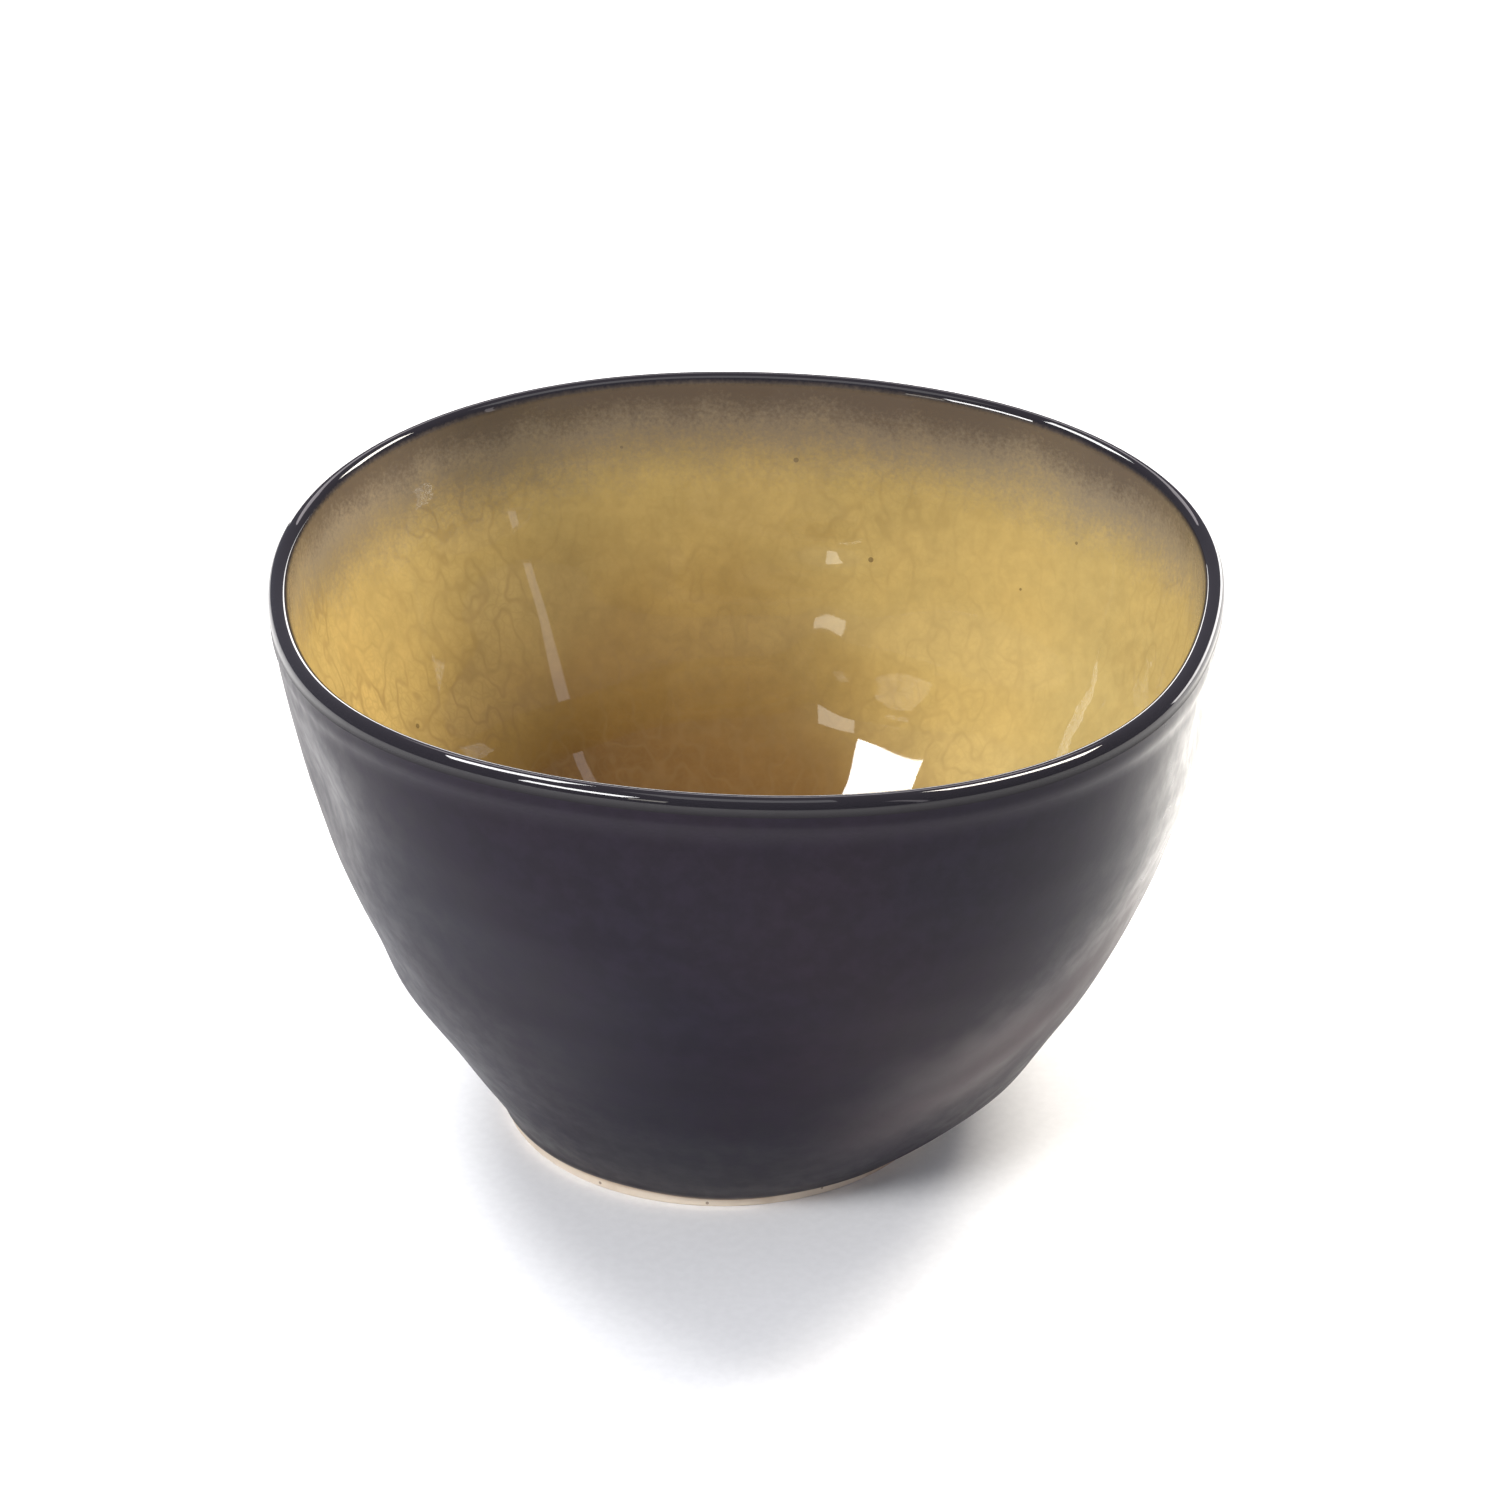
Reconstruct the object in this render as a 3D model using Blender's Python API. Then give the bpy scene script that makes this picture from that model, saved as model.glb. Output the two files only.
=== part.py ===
"""A hand-formed stoneware bowl: one fired piece, hollow, standing on a low foot ring.

The bowl stands on z = 0 with +Z up. The origin lies under the middle of the rim, so that
the bowl's outermost reach is the same to either side of it. Angles run counter-clockwise
seen from above, from 0 degrees at +X, and the front of the bowl is at 270 degrees (-Y).
"""

import math

import bmesh
import bpy

# Main sizes, in metres
RIM_RADIUS = 0.0700          # outside of the lip, before its hand-made unevenness
BOWL_HEIGHT = 0.0854         # underside of the foot to the top of the lip, on average
FOOT_RADIUS = 0.0326         # outside of the bare foot ring
FOOT_HEIGHT = 0.0016         # bare clay from the ground up to the edge of the glaze
FOOT_RING_WIDTH = 0.0060     # inside to outside of the ring that the bowl stands on
FOOT_EDGE_RADIUS = 0.0005    # rounding along both edges of the ring's underside
RECESS_DEPTH = 0.0022        # hollow turned out of the underside, within the ring
RECESS_COVE = 0.0012         # rounded corner between the ring's inner side and the recess
GLAZE_STEP = 0.0002          # how far the glazed wall stands out beyond the bare ring

# Wall and lip, in metres
LIP_RADIUS = 0.0015          # half the thickness of the rounded lip
LIP_BAND_HEIGHT = 0.0030     # glossy band under the lip, where the inside glaze runs over
LIP_BAND_RUNOUT = 0.0009     # height in which that band fades into the wall below
LIP_BAND_PROUD = 0.0004      # how far the band stands out from the wall below
WALL_AT_FOOT = 0.0054        # wall thickness low down
FLOOR_THICKNESS = 0.0046     # clay between the recess and the inside of the bowl
FLOOR_DISH = 0.0032          # how far the inside floor rises on its way out to the wall

# Profile of the wall: it leaves the foot at a slant and stands upright at the lip
BELLY_CURVE = 1.78           # how soon the wall turns upright
BELLY_LIFT = 0.90            # how full the wall is just above the foot
THICKENING = 2.0             # how quickly the wall thickens on its way down

# Hand-made unevenness of the rim, in metres, with the directions of its high places
OVAL = 0.0004                # longer along one diagonal than across it
OVAL_AT = 135.0
LOBE_THREE = 0.0027          # three soft corners seen from above
LOBE_THREE_AT = 27.0
LOBE_FOUR = 0.0019           # four soft corners, one near each diagonal
LOBE_FOUR_AT = 43.0
LIP_SADDLE = 0.0029          # the lip stands higher at the back and the front
LIP_SADDLE_AT = 83.0
LIP_WAVE = 0.0008            # and a little higher in three more places
LIP_WAVE_AT = 98.0

# The foot was turned a little off the middle of the rim
FOOT_OFFSET = 0.0030
FOOT_OFFSET_AT = 180.0
FOOT_OFFSET_FADE = 0.0050    # height over which the wall comes back to the middle
BOW = 0.0011                 # how far the middle of the wall stands to one side of the rim
BOW_AT = 0.0

# Fineness of the solid
COLUMNS = 72                 # sides of the bowl
WALL_STEPS = 21              # bands up the outside
INSIDE_STEPS = 15            # bands down the inside
FLOOR_STEPS = 6              # bands from the inside wall to the middle of the floor
LIP_STEPS = 6                # bands over the lip
EDGE_STEPS = 2               # bands around each rounded edge of the foot
RECESS_STEPS = 2             # bands from the middle of the recess to its edge

# The wall without the band, at the lip, is as thick as the lip less what the band adds
WALL_AT_RIM = 2.0 * LIP_RADIUS - LIP_BAND_PROUD


class Press:
    """A soft hollow that fingers left in the wall, or a swelling where the depth is negative.

    The hollow lies along a line that climbs by a share of the wall's height for each degree.
    """

    def __init__(self, angle, level, depth, spread, reach, climb=0.0):
        self.angle = angle      # direction of its middle, in degrees
        self.level = level      # height of its middle, as a share of the wall's height
        self.depth = depth      # metres
        self.spread = spread    # half its length around the bowl, in degrees
        self.reach = reach      # half its height, as a share of the wall's height
        self.climb = climb      # share of the height gained for each degree

    def depth_at(self, angle, share):
        """Give how far the press moves the wall inwards at one place."""
        along = (angle - self.angle + 180.0) % 360.0 - 180.0
        across = share - self.level - self.climb * along
        fall = (along / self.spread) ** 2 + (across / self.reach) ** 2
        return self.depth * math.exp(-fall)


PRESSES = (
    Press(angle=352.0, level=0.86, depth=0.0015, spread=14.0, reach=0.090),
    Press(angle=203.0, level=0.78, depth=0.0016, spread=13.0, reach=0.120),
    Press(angle=203.0, level=0.34, depth=-0.0008, spread=12.0, reach=0.075),
    Press(angle=322.0, level=0.50, depth=0.0010, spread=20.0, reach=0.120, climb=0.006),
    Press(angle=314.0, level=0.37, depth=-0.0004, spread=15.0, reach=0.040, climb=0.006),
    Press(angle=335.0, level=0.12, depth=-0.0010, spread=13.0, reach=0.075),
    Press(angle=236.0, level=0.60, depth=0.0006, spread=16.0, reach=0.200, climb=-0.004),
    Press(angle=60.0, level=0.55, depth=0.0007, spread=18.0, reach=0.160, climb=0.003),
    Press(angle=118.0, level=0.48, depth=0.0008, spread=20.0, reach=0.130, climb=-0.003),
)


def lobes(angle):
    """Give how far the rim stands outside its mean circle in one direction."""
    oval = OVAL * math.cos(math.radians(2.0 * (angle - OVAL_AT)))
    three = LOBE_THREE * math.cos(math.radians(3.0 * (angle - LOBE_THREE_AT)))
    four = LOBE_FOUR * math.cos(math.radians(4.0 * (angle - LOBE_FOUR_AT)))
    return oval + three + four


def lip_height(angle):
    """Give the height of the middle of the rounded lip in one direction."""
    saddle = LIP_SADDLE * math.cos(math.radians(2.0 * (angle - LIP_SADDLE_AT)))
    wave = LIP_WAVE * math.cos(math.radians(3.0 * (angle - LIP_WAVE_AT)))
    return BOWL_HEIGHT - LIP_RADIUS + saddle + wave


def pressed(angle, share):
    """Give how far all the presses together move the wall inwards at one place."""
    return sum(press.depth_at(angle, share) for press in PRESSES)


def plain_wall(angle, share):
    """Give radius and height of the outside, without the band under the lip.

    The share runs from 0 at the edge of the glaze, above the foot, to 1 at the lip.
    """
    height = FOOT_HEIGHT + share * (lip_height(angle) - FOOT_HEIGHT)
    start = FOOT_RADIUS + GLAZE_STEP
    opening = (1.0 - (1.0 - share) ** BELLY_CURVE) ** BELLY_LIFT
    radius = start + (RIM_RADIUS - LIP_BAND_PROUD - start) * opening
    radius += share * lobes(angle) - pressed(angle, share)
    return radius, height


def outer_wall(angle, share):
    """Give radius and height of the outside, with the band under the lip."""
    radius, height = plain_wall(angle, share)
    under_band = lip_height(angle) - LIP_BAND_HEIGHT - LIP_BAND_RUNOUT
    rise = min(max((height - under_band) / LIP_BAND_RUNOUT, 0.0), 1.0)
    radius += LIP_BAND_PROUD * rise * rise * (3.0 - 2.0 * rise)
    return radius, height


def inner_wall(angle, share):
    """Give radius and height of the inside, square to the outside by the wall's thickness."""
    step = 0.002
    low_radius, low_height = plain_wall(angle, max(share - step, 0.0))
    high_radius, high_height = plain_wall(angle, min(share + step, 1.0))
    run = high_radius - low_radius
    climb = high_height - low_height
    length = math.hypot(run, climb)
    thickness = WALL_AT_RIM + (WALL_AT_FOOT - WALL_AT_RIM) * (1.0 - share) ** THICKENING
    radius, height = plain_wall(angle, share)
    return radius - thickness * climb / length, height + thickness * run / length


def floor_edge(angle):
    """Give the share of the wall's height at which the inside floor meets the wall."""
    wanted = RECESS_DEPTH + FLOOR_THICKNESS + FLOOR_DISH
    low = 0.0
    high = 0.5
    for _ in range(30):
        middle = 0.5 * (low + high)
        if inner_wall(angle, middle)[1] < wanted:
            low = middle
        else:
            high = middle
    return high


def inner_floor(angle, start):
    """Give the points of the inside floor, from the foot of the wall to the middle.

    The floor leaves the wall in the wall's own direction and lies level in the middle.
    """
    middle = RECESS_DEPTH + FLOOR_THICKNESS
    edge_radius, edge_height = inner_wall(angle, start)
    next_radius, next_height = inner_wall(angle, start + 0.01)
    climb = next_height - edge_height
    run = max(next_radius - edge_radius, 0.05 * climb)
    drop = edge_height - middle
    power = max(climb / run * edge_radius / drop, 2.0)
    points = []
    for step in range(1, FLOOR_STEPS):
        share = 1.0 - (step / FLOOR_STEPS) ** 1.5
        points.append((edge_radius * share, middle + drop * share ** power))
    points.append((0.0, middle))
    return points


def arc(centre_radius, centre_height, radius, start, end, steps):
    """Give the points of a rounded edge, from a start to an end angle in degrees."""
    points = []
    for step in range(steps + 1):
        turn = math.radians(start + (end - start) * step / steps)
        aside = radius * math.cos(turn)
        points.append((centre_radius + aside, centre_height + radius * math.sin(turn)))
    return points


def section(angle):
    """Give the closed section of the bowl in one direction as (radius, height) points.

    It starts in the middle of the underside, runs out under the foot and up the outside,
    goes over the lip and comes down the inside to the middle of the floor.
    """
    edge = min(FOOT_EDGE_RADIUS, 0.4 * FOOT_RING_WIDTH, 0.8 * FOOT_HEIGHT)
    cove = min(RECESS_COVE, 0.9 * (RECESS_DEPTH - edge))
    ring_inside = FOOT_RADIUS - FOOT_RING_WIDTH
    recess_edge = ring_inside - cove
    points = []
    for step in range(RECESS_STEPS):
        points.append((recess_edge * step / RECESS_STEPS, RECESS_DEPTH))
    points += arc(recess_edge, RECESS_DEPTH - cove, cove, 90.0, 0.0, EDGE_STEPS)
    points += arc(ring_inside + edge, edge, edge, 180.0, 270.0, EDGE_STEPS)
    points += arc(FOOT_RADIUS - edge, edge, edge, 270.0, 360.0, EDGE_STEPS)
    points.append((FOOT_RADIUS, FOOT_HEIGHT))
    for step in range(WALL_STEPS):
        points.append(outer_wall(angle, (step / WALL_STEPS) ** 1.15))
    lip_outside, lip_level = outer_wall(angle, 1.0)
    points += arc(lip_outside - LIP_RADIUS, lip_level, LIP_RADIUS, 0.0, 180.0, LIP_STEPS)
    start = floor_edge(angle)
    for step in range(1, INSIDE_STEPS + 1):
        points.append(inner_wall(angle, 1.0 - (1.0 - start) * step / INSIDE_STEPS))
    points += inner_floor(angle, start)
    return points


def place(angle, radius, height):
    """Give the point in space of a section's point.

    The foot is set off the middle, and the whole is moved by what the rim's three corners
    add on one side only, so that the origin lies under the middle of the rim's reach.
    """
    lift = max(height - FOOT_HEIGHT, 0.0)
    offset = FOOT_OFFSET * math.exp(-lift / FOOT_OFFSET_FADE)
    turn = math.radians(angle)
    bow = BOW * math.sin(math.pi * min(height / BOWL_HEIGHT, 1.0))
    foot_way = math.radians(FOOT_OFFSET_AT)
    bow_way = math.radians(BOW_AT)
    corners = math.radians(3.0 * LOBE_THREE_AT)
    x = radius * math.cos(turn) + offset * math.cos(foot_way) + bow * math.cos(bow_way)
    y = radius * math.sin(turn) + offset * math.sin(foot_way) + bow * math.sin(bow_way)
    return x - LOBE_THREE * math.cos(corners), y + LOBE_THREE * math.sin(corners), height


def clay_and_glaze():
    """Make the bowl's material: a dark satin glaze over stoneware."""
    material = bpy.data.materials.new("dark_glaze")
    material.use_nodes = True
    shader = material.node_tree.nodes["Principled BSDF"]
    shader.inputs["Base Color"].default_value = (0.022, 0.020, 0.027, 1.0)
    shader.inputs["Roughness"].default_value = 0.28
    shader.inputs["Metallic"].default_value = 0.0
    material.diffuse_color = (0.022, 0.020, 0.027, 1.0)
    return material


def build_bowl():
    """Build the bowl as one closed mesh of sections joined side by side."""
    angles = [360.0 * column / COLUMNS for column in range(COLUMNS)]
    sections = [section(angle) for angle in angles]
    count = len(sections[0])
    mesh = bmesh.new()
    under = mesh.verts.new(place(0.0, *sections[0][0]))
    floor = mesh.verts.new(place(0.0, *sections[0][-1]))
    rings = []
    for row in range(1, count - 1):
        rings.append([mesh.verts.new(place(a, *s[row])) for a, s in zip(angles, sections)])
    for column in range(COLUMNS):
        beside = (column + 1) % COLUMNS
        mesh.faces.new((under, rings[0][beside], rings[0][column]))
        mesh.faces.new((floor, rings[-1][column], rings[-1][beside]))
        for lower, upper in zip(rings, rings[1:]):
            mesh.faces.new((lower[column], lower[beside], upper[beside], upper[column]))
    bmesh.ops.triangulate(mesh, faces=mesh.faces[:])
    data = bpy.data.meshes.new("bowl")
    mesh.to_mesh(data)
    mesh.free()
    data.shade_smooth()
    data.set_sharp_from_angle(angle=math.radians(40.0))
    data.materials.append(clay_and_glaze())
    bowl = bpy.data.objects.new("bowl", data)
    bpy.context.scene.collection.objects.link(bowl)
    return bowl


def main():
    """Clear the scene and build the bowl."""
    for item in list(bpy.data.objects):
        bpy.data.objects.remove(item, do_unlink=True)
    build_bowl()


main()
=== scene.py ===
"""A hand-formed stoneware bowl on a white table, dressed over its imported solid.

The bowl is one fired piece. Its fine mesh repeats the form of the solid from the same
sizes and adds what is too fine for it: throwing marks, the roll of glaze above the foot
and the soft waves and dents of the inside. Angles run counter-clockwise seen from above, from 0
degrees at +X, and the front of the bowl is at 270 degrees (-Y). Sizes are in metres.
"""

import logging
import math
from dataclasses import dataclass, field
from enum import Enum
from typing import Iterable, Mapping, Optional, Union

import bpy
import numpy as np
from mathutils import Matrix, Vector


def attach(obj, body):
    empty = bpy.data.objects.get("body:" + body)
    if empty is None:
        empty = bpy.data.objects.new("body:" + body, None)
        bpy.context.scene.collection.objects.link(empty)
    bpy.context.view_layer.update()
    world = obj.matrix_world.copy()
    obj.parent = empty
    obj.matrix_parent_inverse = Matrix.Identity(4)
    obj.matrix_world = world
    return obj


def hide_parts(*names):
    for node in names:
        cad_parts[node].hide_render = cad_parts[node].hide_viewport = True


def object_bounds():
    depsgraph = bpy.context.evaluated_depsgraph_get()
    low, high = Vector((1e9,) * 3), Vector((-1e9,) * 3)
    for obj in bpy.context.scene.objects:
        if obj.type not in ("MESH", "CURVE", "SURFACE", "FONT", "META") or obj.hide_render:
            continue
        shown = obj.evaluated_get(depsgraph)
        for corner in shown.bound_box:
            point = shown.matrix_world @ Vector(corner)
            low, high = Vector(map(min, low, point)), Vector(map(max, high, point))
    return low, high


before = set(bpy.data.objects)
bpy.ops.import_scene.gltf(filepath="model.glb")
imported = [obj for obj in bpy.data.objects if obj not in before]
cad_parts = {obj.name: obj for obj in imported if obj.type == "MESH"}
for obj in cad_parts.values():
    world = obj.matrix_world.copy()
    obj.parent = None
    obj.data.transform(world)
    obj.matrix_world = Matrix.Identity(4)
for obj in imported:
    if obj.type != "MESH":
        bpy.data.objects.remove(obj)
SOLID_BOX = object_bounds()

LOG = logging.getLogger("bowl")

MILLIMETRES = 1000.0  # in a metre

Socket = bpy.types.NodeSocket
NodeTree = bpy.types.NodeTree
Input = Union[float, tuple, Socket]
Array = np.ndarray
Sockets = Mapping[str, Socket]


class Region(Enum):
    """The three finishes of the bowl, with the index of each one's material."""

    OUTSIDE = 0
    INSIDE = 1
    CLAY = 2


def in_scene(name: str, data: bpy.types.ID) -> bpy.types.Object:
    """Make an object of a mesh, light or camera and put it in the scene."""
    made = bpy.data.objects.new(name, data)
    bpy.context.scene.collection.objects.link(made)
    return made


def wave(degrees: Array) -> Array:
    """Give the cosine of an angle in degrees."""
    return np.cos(np.radians(degrees))


def soft_step(value: Array, low: float, high: float) -> Array:
    """Rise softly from 0 to 1 between two values.

    Args:
        value: what is looked up.
        low: where the rise starts.
        high: where it ends; it may lie below the start.

    Returns:
        A number from 0 to 1 for each value.
    """
    share = np.clip((value - low) / (high - low), 0.0, 1.0)
    return share * share * (3.0 - 2.0 * share)


@dataclass(frozen=True)
class Press:
    """A soft hollow left by fingers in the wall, or a swelling if its depth is negative."""

    angle: float
    level: float
    depth: float
    spread: float
    reach: float
    climb: float = 0.0

    def depth_at(self, angle: Array, share: Array) -> Array:
        """Give how far the press moves the wall inwards.

        Args:
            angle: directions in degrees.
            share: heights as a share of the wall's height.

        Returns:
            Metres inwards at each place.
        """
        along = (angle - self.angle + 180.0) % 360.0 - 180.0
        across = share - self.level - self.climb * along
        return self.depth * np.exp(-((along / self.spread) ** 2) - (across / self.reach) ** 2)


@dataclass(frozen=True)
class Ripple:
    """A soft wave in a surface, with whole turns around the bowl."""

    around: int
    up: float
    depth: float
    start: float

    def height_at(self, angle: Array, share: Array) -> Array:
        """Give the wave's height at each place.

        Args:
            angle: directions in degrees.
            share: heights as a share of the wall's height.

        Returns:
            Metres, positive and negative.
        """
        turns = self.around * angle + 360.0 * self.up * share + self.start
        return self.depth * wave(turns)


@dataclass
class Bowl:
    """The bowl: foot, wall, rounded lip and floor as one closed mesh."""

    rim_radius: float = 0.0700
    height: float = 0.0854
    foot_radius: float = 0.0326
    foot_height: float = 0.0016
    foot_ring_width: float = 0.0060
    foot_edge_radius: float = 0.0005
    recess_depth: float = 0.0022
    recess_cove: float = 0.0012
    glaze_step: float = 0.0002

    lip_radius: float = 0.0015
    lip_band_height: float = 0.0030
    lip_band_runout: float = 0.0009
    lip_band_proud: float = 0.0004
    wall_at_foot: float = 0.0054
    floor_thickness: float = 0.0046
    floor_dish: float = 0.0032

    belly_curve: float = 1.78
    belly_lift: float = 0.90
    thickening: float = 2.0

    oval: float = 0.0004
    oval_at: float = 135.0
    lobe_three: float = 0.0027
    lobe_three_at: float = 27.0
    lobe_four: float = 0.0019
    lobe_four_at: float = 43.0
    lip_saddle: float = 0.0029
    lip_saddle_at: float = 83.0
    lip_wave: float = 0.0008
    lip_wave_at: float = 98.0

    foot_offset: float = 0.0030
    foot_offset_fade: float = 0.0050
    bow: float = 0.0011

    glaze_roll: float = 0.00022
    glaze_roll_at: float = 0.0011
    glaze_roll_half: float = 0.0007
    foot_wander: float = 0.00012
    gloss_below_lip: float = 0.0012

    columns: int = 384
    recess_rows: int = 6
    edge_rows: int = 4
    outside_rows: int = 104
    lip_rows: int = 18
    inside_rows: int = 82
    floor_rows: int = 24
    crowding: float = 1.1
    sharp_angle: float = 60.0

    slope_step: float = 0.002
    halvings: int = 30
    rise_above_foot: tuple[float, float] = (0.03, 0.12)
    fall_below_lip: tuple[float, float] = (1.0, 0.93)
    inside_fall: tuple[float, float] = (1.0, 0.90)
    foot_settle: float = 0.001

    presses: tuple[Press, ...] = (
        Press(angle=352.0, level=0.86, depth=0.0015, spread=14.0, reach=0.090),
        Press(angle=203.0, level=0.78, depth=0.0016, spread=13.0, reach=0.120),
        Press(angle=203.0, level=0.34, depth=-0.0008, spread=12.0, reach=0.075),
        Press(angle=322.0, level=0.50, depth=0.0010, spread=20.0, reach=0.120, climb=0.006),
        Press(angle=314.0, level=0.37, depth=-0.0004, spread=15.0, reach=0.040, climb=0.006),
        Press(angle=335.0, level=0.12, depth=-0.0010, spread=13.0, reach=0.075),
        Press(angle=236.0, level=0.60, depth=0.0006, spread=16.0, reach=0.200, climb=-0.004),
        Press(angle=60.0, level=0.55, depth=0.0007, spread=18.0, reach=0.160, climb=0.003),
        Press(angle=118.0, level=0.48, depth=0.0008, spread=20.0, reach=0.130, climb=-0.003),
    )
    outside_ripples: tuple[Ripple, ...] = (
        Ripple(around=1, up=9.0, depth=0.000018, start=40.0),
        Ripple(around=2, up=5.0, depth=0.000030, start=130.0),
        Ripple(around=5, up=2.5, depth=0.000040, start=250.0),
        Ripple(around=9, up=-3.5, depth=0.000020, start=15.0),
    )
    inside_presses: tuple[Press, ...] = (
        Press(angle=78.3, level=0.700, depth=0.00067, spread=4.9, reach=0.032),
        Press(angle=77.9, level=0.6115, depth=0.00016, spread=4.2, reach=0.035),
        Press(angle=79.0, level=0.468, depth=0.00030, spread=4.3, reach=0.058),
        Press(angle=68.0, level=0.36, depth=0.00008, spread=14.0, reach=0.110),
        Press(angle=127.0, level=0.36, depth=0.00060, spread=8.0, reach=0.160),
    )
    inside_ripples: tuple[Ripple, ...] = (
        Ripple(around=1, up=4.2, depth=0.00013, start=252.0),
        Ripple(around=2, up=6.1, depth=0.00007, start=200.0),
        Ripple(around=7, up=1.4, depth=0.00009, start=310.0),
        Ripple(around=11, up=-2.2, depth=0.00004, start=95.0),
    )

    def lobes(self, angle: Array) -> Array:
        """Give how far the rim stands outside its mean circle.

        Args:
            angle: directions in degrees.

        Returns:
            Metres outwards in each direction.
        """
        oval = self.oval * wave(2.0 * (angle - self.oval_at))
        three = self.lobe_three * wave(3.0 * (angle - self.lobe_three_at))
        four = self.lobe_four * wave(4.0 * (angle - self.lobe_four_at))
        return oval + three + four

    def lip_height(self, angle: Array) -> Array:
        """Give the height of the middle of the rounded lip.

        Args:
            angle: directions in degrees.

        Returns:
            Heights in metres.
        """
        saddle = self.lip_saddle * wave(2.0 * (angle - self.lip_saddle_at))
        three = self.lip_wave * wave(3.0 * (angle - self.lip_wave_at))
        return self.height - self.lip_radius + saddle + three

    def plain_wall(self, angle: Array, share: Array) -> tuple[Array, Array]:
        """Give the outside without the band under the lip.

        Args:
            angle: directions in degrees.
            share: 0 at the edge of the glaze above the foot, 1 at the lip.

        Returns:
            Radius and height in metres.
        """
        height = self.foot_height + share * (self.lip_height(angle) - self.foot_height)
        start = self.foot_radius + self.glaze_step
        opening = (1.0 - (1.0 - share) ** self.belly_curve) ** self.belly_lift
        radius = start + (self.rim_radius - self.lip_band_proud - start) * opening
        radius = radius + share * self.lobes(angle)
        for press in self.presses:
            radius = radius - press.depth_at(angle, share)
        return radius, height

    def outer_wall(self, angle: Array, share: Array) -> tuple[Array, Array]:
        """Give the outside with the band, the throwing marks and the roll of glaze.

        Args:
            angle: directions in degrees.
            share: 0 at the edge of the glaze above the foot, 1 at the lip.

        Returns:
            Radius and height in metres.
        """
        radius, height = self.plain_wall(angle, share)
        under_band = self.lip_height(angle) - self.lip_band_height - self.lip_band_runout
        rise = np.clip((height - under_band) / self.lip_band_runout, 0.0, 1.0)
        radius = radius + self.lip_band_proud * rise * rise * (3.0 - 2.0 * rise)
        fade = soft_step(share, *self.rise_above_foot) * soft_step(share, *self.fall_below_lip)
        for ripple in self.outside_ripples:
            radius = radius + fade * ripple.height_at(angle, share)
        lift = (height - self.foot_height - self.glaze_roll_at) / self.glaze_roll_half
        radius = radius + self.glaze_roll * np.exp(-lift * lift)
        return radius, height

    def inner_wall(self, angle: Array, share: Array) -> tuple[Array, Array]:
        """Give the inside, square to the outside by the wall's thickness, with its waves.

        Args:
            angle: directions in degrees.
            share: the share of the outside's height that lies square across the wall.

        Returns:
            Radius and height in metres.
        """
        step = self.slope_step
        low_radius, low_height = self.plain_wall(angle, np.maximum(share - step, 0.0))
        high_radius, high_height = self.plain_wall(angle, np.minimum(share + step, 1.0))
        run = high_radius - low_radius
        climb = high_height - low_height
        length = np.hypot(run, climb)
        at_rim = 2.0 * self.lip_radius - self.lip_band_proud
        thickness = at_rim + (self.wall_at_foot - at_rim) * (1.0 - share) ** self.thickening
        fade = soft_step(share, *self.inside_fall)
        for ripple in self.inside_ripples:
            thickness = thickness + fade * ripple.height_at(angle, share)
        for press in self.inside_presses:
            thickness = thickness - fade * press.depth_at(angle, share)
        radius, height = self.plain_wall(angle, share)
        return radius - thickness * climb / length, height + thickness * run / length

    def floor_edge(self, angle: Array) -> Array:
        """Give where the inside floor meets the wall.

        Args:
            angle: directions in degrees.

        Returns:
            The share of the wall's height in each direction.
        """
        wanted = self.recess_depth + self.floor_thickness + self.floor_dish
        low = np.zeros_like(angle)
        high = np.full_like(angle, 0.5)
        for _ in range(self.halvings):
            middle = 0.5 * (low + high)
            short = self.inner_wall(angle, middle)[1] < wanted
            low = np.where(short, middle, low)
            high = np.where(short, high, middle)
        return high

    def floor_rings(self, angle: Array, start: Array) -> list[tuple[Array, Array]]:
        """Give the rings of the inside floor, from the foot of the wall inwards.

        Args:
            angle: directions in degrees.
            start: where the floor meets the wall in each direction.

        Returns:
            Radius and height of each ring.
        """
        middle = self.recess_depth + self.floor_thickness
        edge_radius, edge_height = self.inner_wall(angle, start)
        next_radius, next_height = self.inner_wall(angle, start + 0.01)
        climb = next_height - edge_height
        run = np.maximum(next_radius - edge_radius, 0.05 * climb)
        drop = edge_height - middle
        power = np.maximum(climb / run * edge_radius / drop, 2.0)
        rings = []
        for step in range(1, self.floor_rows):
            share = 1.0 - (step / self.floor_rows) ** self.crowding
            rings.append((edge_radius * share, middle + drop * share**power))
        return rings

    def arc(self, centre: tuple[Array, Array], radius: float, start: float, end: float,
            steps: int) -> list[tuple[Array, Array]]:
        """Give the rings of a rounded edge.

        Args:
            centre: radius and height of the rounding's own middle.
            radius: its radius.
            start: the first angle in degrees, 0 outwards and 90 upwards.
            end: the last one.
            steps: how many rings follow the first one.

        Returns:
            Radius and height of each ring.
        """
        rings = []
        for step in range(steps + 1):
            turn = math.radians(start + (end - start) * step / steps)
            aside = radius * math.cos(turn)
            rings.append((centre[0] + aside, centre[1] + radius * math.sin(turn)))
        return rings

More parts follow.
